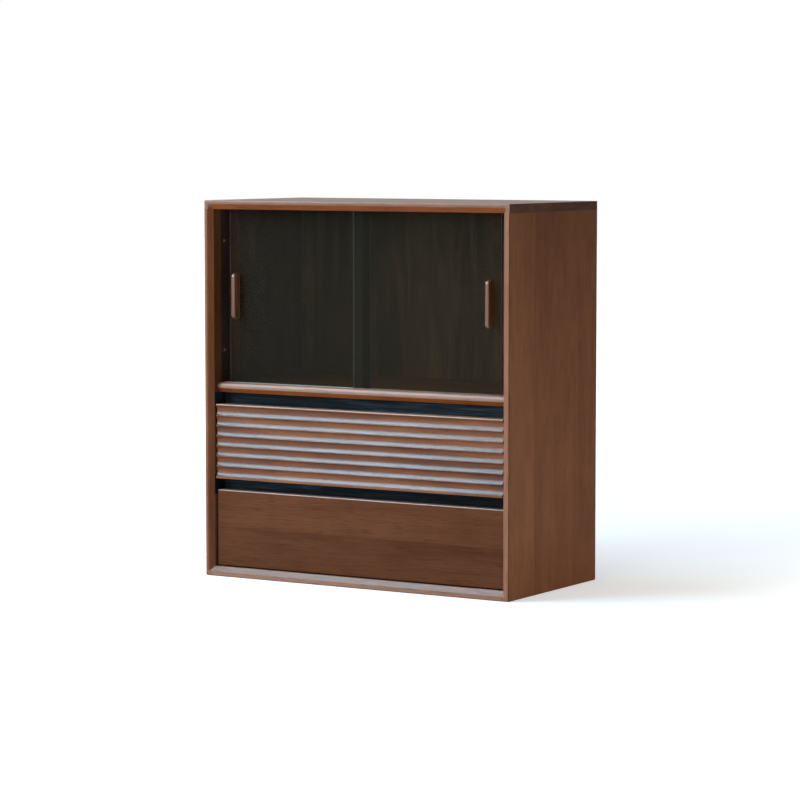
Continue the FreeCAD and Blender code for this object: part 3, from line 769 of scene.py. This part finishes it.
for hand, pane_finish in (("left", rear_pane_finish), ("right", front_pane_finish)):
    pane = board_copy(f"{hand}_glass_pane", f"{hand}_door_pane")
    soften(pane, 0.0006, 1, long_edge)
    if hand == "left":
        bpy.ops.object.mode_set(mode="EDIT")
        bpy.ops.mesh.select_all(action="SELECT")
        bpy.ops.mesh.bisect(plane_co=(band_start, 0, 0), plane_no=(1, 0, 0))
        bpy.ops.object.mode_set(mode="OBJECT")
    dress(pane, pane_finishes, pane_finish, f"{hand}_door", "door_glass", f"{hand}_glass_pane")

# Door handles: short upright bars of the same ash, rounded at the front corners and all round.
# Each is bonded to its pane by its flat back.
handle_tones = (0.105, 0.034, 0.013), (0.160, 0.058, 0.024), (0.220, 0.088, 0.040)
handle_finish = stained_wood("turned_bar_ash", "Z", "X", handle_tones, one_stave, rough=0.26, shine=0.65)
for hand in ("left", "right"):
    low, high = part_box(f"{hand}_door_handle")
    bpy.ops.object.select_all(action="DESELECT")
    bpy.ops.mesh.primitive_cube_add(size=1, location=(low + high) / 2)
    bar = bpy.context.active_object
    bar.name = bar.data.name = f"{hand}_handle_bar"
    bar.scale = high - low
    bpy.ops.object.transform_apply(location=True, rotation=True, scale=True)
    soften(bar, 0.009, 8,
           lambda start, end: max(start.y, end.y) < low.y + near and abs(start.x - end.x) > 0.005)
    soften(bar, 0.0032, 5, lambda start, end: min(start.y, end.y) < high.y - near, shortest=0)
    dress(bar, {"all": handle_finish}, all_over, f"{hand}_door", "handle_wood", f"{hand}_door_handle")

# Studio: a pale floor, an even surround, and three softboxes: above left, low on the right and in front.
# The surround and the floor look white, and the floor keeps the shadow.


def seen_straight(tree, *kinds):
    """One for a ray of these kinds that has met no matt surface on its way, and nought for any other."""
    rays = tree.nodes.new("ShaderNodeLightPath").outputs
    seen = rays[kinds[0]]
    for kind in kinds[1:]:
        seen = math_node(tree, "MAXIMUM", seen, rays[kind])
    return math_node(tree, "MULTIPLY", seen, math_node(tree, "LESS_THAN", rays["Diffuse Depth"], 0.5))


bpy.ops.object.select_all(action="DESELECT")
bpy.ops.mesh.primitive_plane_add(size=40, location=(0, 0, -0.0005))
floor = bpy.context.active_object
floor.name = "studio_floor"
paper, tree, shader, place = new_finish("pale_paper")
shader.inputs["Base Color"].default_value = (0.80, 0.80, 0.80, 1)
shader.inputs["Roughness"].default_value = 0.9
shader.inputs["Specular IOR Level"].default_value = 0.0
shader.inputs["Emission Color"].default_value = (1, 1, 1, 1)
reach = tree.nodes.new("ShaderNodeVectorMath")
reach.operation = "LENGTH"
tree.links.new(place, reach.inputs[0])
away = map_range(tree, reach.outputs["Value"], 0.42, 1.0, start=0.8, end=3.5)
away.node.interpolation_type = "SMOOTHSTEP"
lift = math_node(tree, "MULTIPLY", seen_straight(tree, "Is Camera Ray", "Is Transmission Ray"), away)
tree.links.new(lift, shader.inputs["Emission Strength"])
floor.data.materials.append(paper)

surround = bpy.data.worlds.new("even_surround")
bpy.context.scene.world = surround
surround.use_nodes = True
tree = surround.node_tree
air = tree.nodes["Background"]
air.inputs["Color"].default_value = (1, 1, 1, 1)
bare = seen_straight(tree, "Is Camera Ray", "Is Glossy Ray", "Is Transmission Ray")
tree.links.new(map_range(tree, bare, 0.25, 1.0), air.inputs["Strength"])

for lamp_name, place, aim, upright, size, power, colour in (
    ("tall_softbox", (-1.87, -1.80, 2.62), (-0.2, -0.2, 0.4), (0, 0.799, 0.602), (1.2, 5.2), 235.0,
     (0.57, 0.81, 1.0)),
    ("side_softbox", (1.6, 0.25, 0.18), (0.4, 0.0, -0.45), (0, 0, 1), (1.6, 0.3), 13.5, (1.0, 0.94, 0.86)),
    ("front_softbox", (0.6, -4.45, 1.55), (0, -0.2, 0.4), (0, 0, 1), (2.2, 2.2), 34.0, (1.0, 0.91, 0.82)),
):
    lamp = bpy.data.lights.new(lamp_name, "AREA")
    lamp.shape = "RECTANGLE"
    lamp.size, lamp.size_y = size
    lamp.energy = power
    lamp.color = colour
    stand = bpy.data.objects.new(lamp_name, lamp)
    bpy.context.scene.collection.objects.link(stand)
    back_way = (Vector(place) - Vector(aim)).normalized()
    side_way = Vector(upright).cross(back_way).normalized()
    stand.rotation_euler = Matrix((side_way, back_way.cross(side_way), back_way)).transposed().to_euler()
    stand.location = place
    stand.visible_camera = stand.visible_transmission = False

tilt, swing = 4.848, 31.575
view = bpy.data.cameras.new("photo_camera")
view.lens = 137.63
view.sensor_width = 36.0
view.clip_end = 100.0
camera = bpy.data.objects.new("photo_camera", view)
camera.location = (3.6318, -5.9078, 0.9951)
camera.rotation_euler = (math.radians(90 - tilt), 0, math.radians(swing))
bpy.context.scene.collection.objects.link(camera)
bpy.context.scene.camera = camera
bpy.context.scene.view_settings.view_transform = "Standard"
